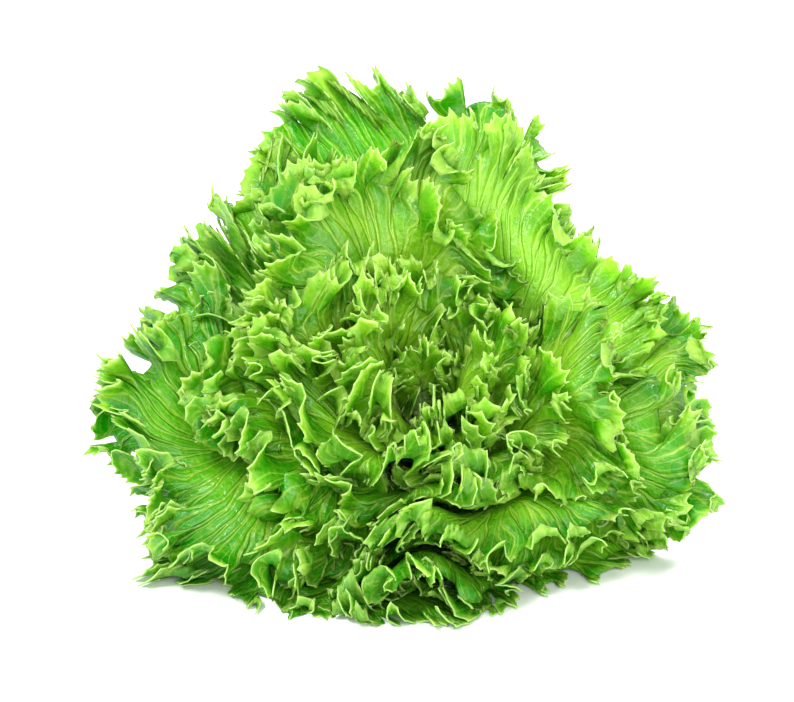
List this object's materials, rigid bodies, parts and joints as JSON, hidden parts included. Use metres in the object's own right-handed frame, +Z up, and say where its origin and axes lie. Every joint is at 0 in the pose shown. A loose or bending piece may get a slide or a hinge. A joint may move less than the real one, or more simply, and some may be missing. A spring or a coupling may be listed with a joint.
{
  "type": "green leaf lettuce",
  "caption": "Loose head of frilly green leaf lettuce with its cut butt, resting on its lower leaves with the heart turned up to the front.",
  "frame": {"origin": "middle of the head's bounding box, on the surface it rests on", "axes": "+Z up, -Y to the front, where the heart faces, +X to the right seen from the front"},
  "size_m": [0.303, 0.224, 0.2189],
  "materials": {
    "outer_leaf": "crisp green leaf, slightly waxy, thin enough to glow against the light, with paler veins and a yellow-green frilled margin",
    "middle_leaf": "crisp bright green leaf, slightly waxy and translucent, with paler veins and a yellow-green frilled margin",
    "inner_leaf": "tender light green leaf, slightly waxy and translucent, with a yellow-green frilled margin",
    "heart_leaf": "tender yellow-green leaf, slightly waxy and translucent, tightly frilled",
    "core": "pale green stem, moist and matt, with a cut face that has begun to brown"
  },
  "bodies": {
    "root": {"core": "core", "outer_leaf_01": "outer_leaf", "outer_leaf_02": "outer_leaf", "outer_leaf_03": "outer_leaf", "outer_leaf_04": "outer_leaf", "outer_leaf_05": "outer_leaf", "outer_leaf_06": "outer_leaf", "outer_leaf_07": "outer_leaf", "outer_leaf_08": "outer_leaf", "outer_leaf_09": "outer_leaf", "outer_leaf_10": "outer_leaf", "middle_leaf_01": "middle_leaf", "middle_leaf_02": "middle_leaf", "middle_leaf_03": "middle_leaf", "middle_leaf_04": "middle_leaf", "middle_leaf_05": "middle_leaf", "middle_leaf_06": "middle_leaf", "middle_leaf_07": "middle_leaf", "middle_leaf_08": "middle_leaf", "middle_leaf_09": "middle_leaf", "inner_leaf_01": "inner_leaf", "inner_leaf_02": "inner_leaf", "inner_leaf_03": "inner_leaf", "inner_leaf_04": "inner_leaf", "inner_leaf_05": "inner_leaf", "inner_leaf_06": "inner_leaf", "inner_leaf_07": "inner_leaf", "inner_leaf_08": "inner_leaf", "inner_leaf_09": "inner_leaf", "heart_leaf_01": "heart_leaf", "heart_leaf_02": "heart_leaf", "heart_leaf_03": "heart_leaf", "heart_leaf_04": "heart_leaf", "heart_leaf_05": "heart_leaf", "heart_leaf_06": "heart_leaf"}
  },
  "joints": []
}
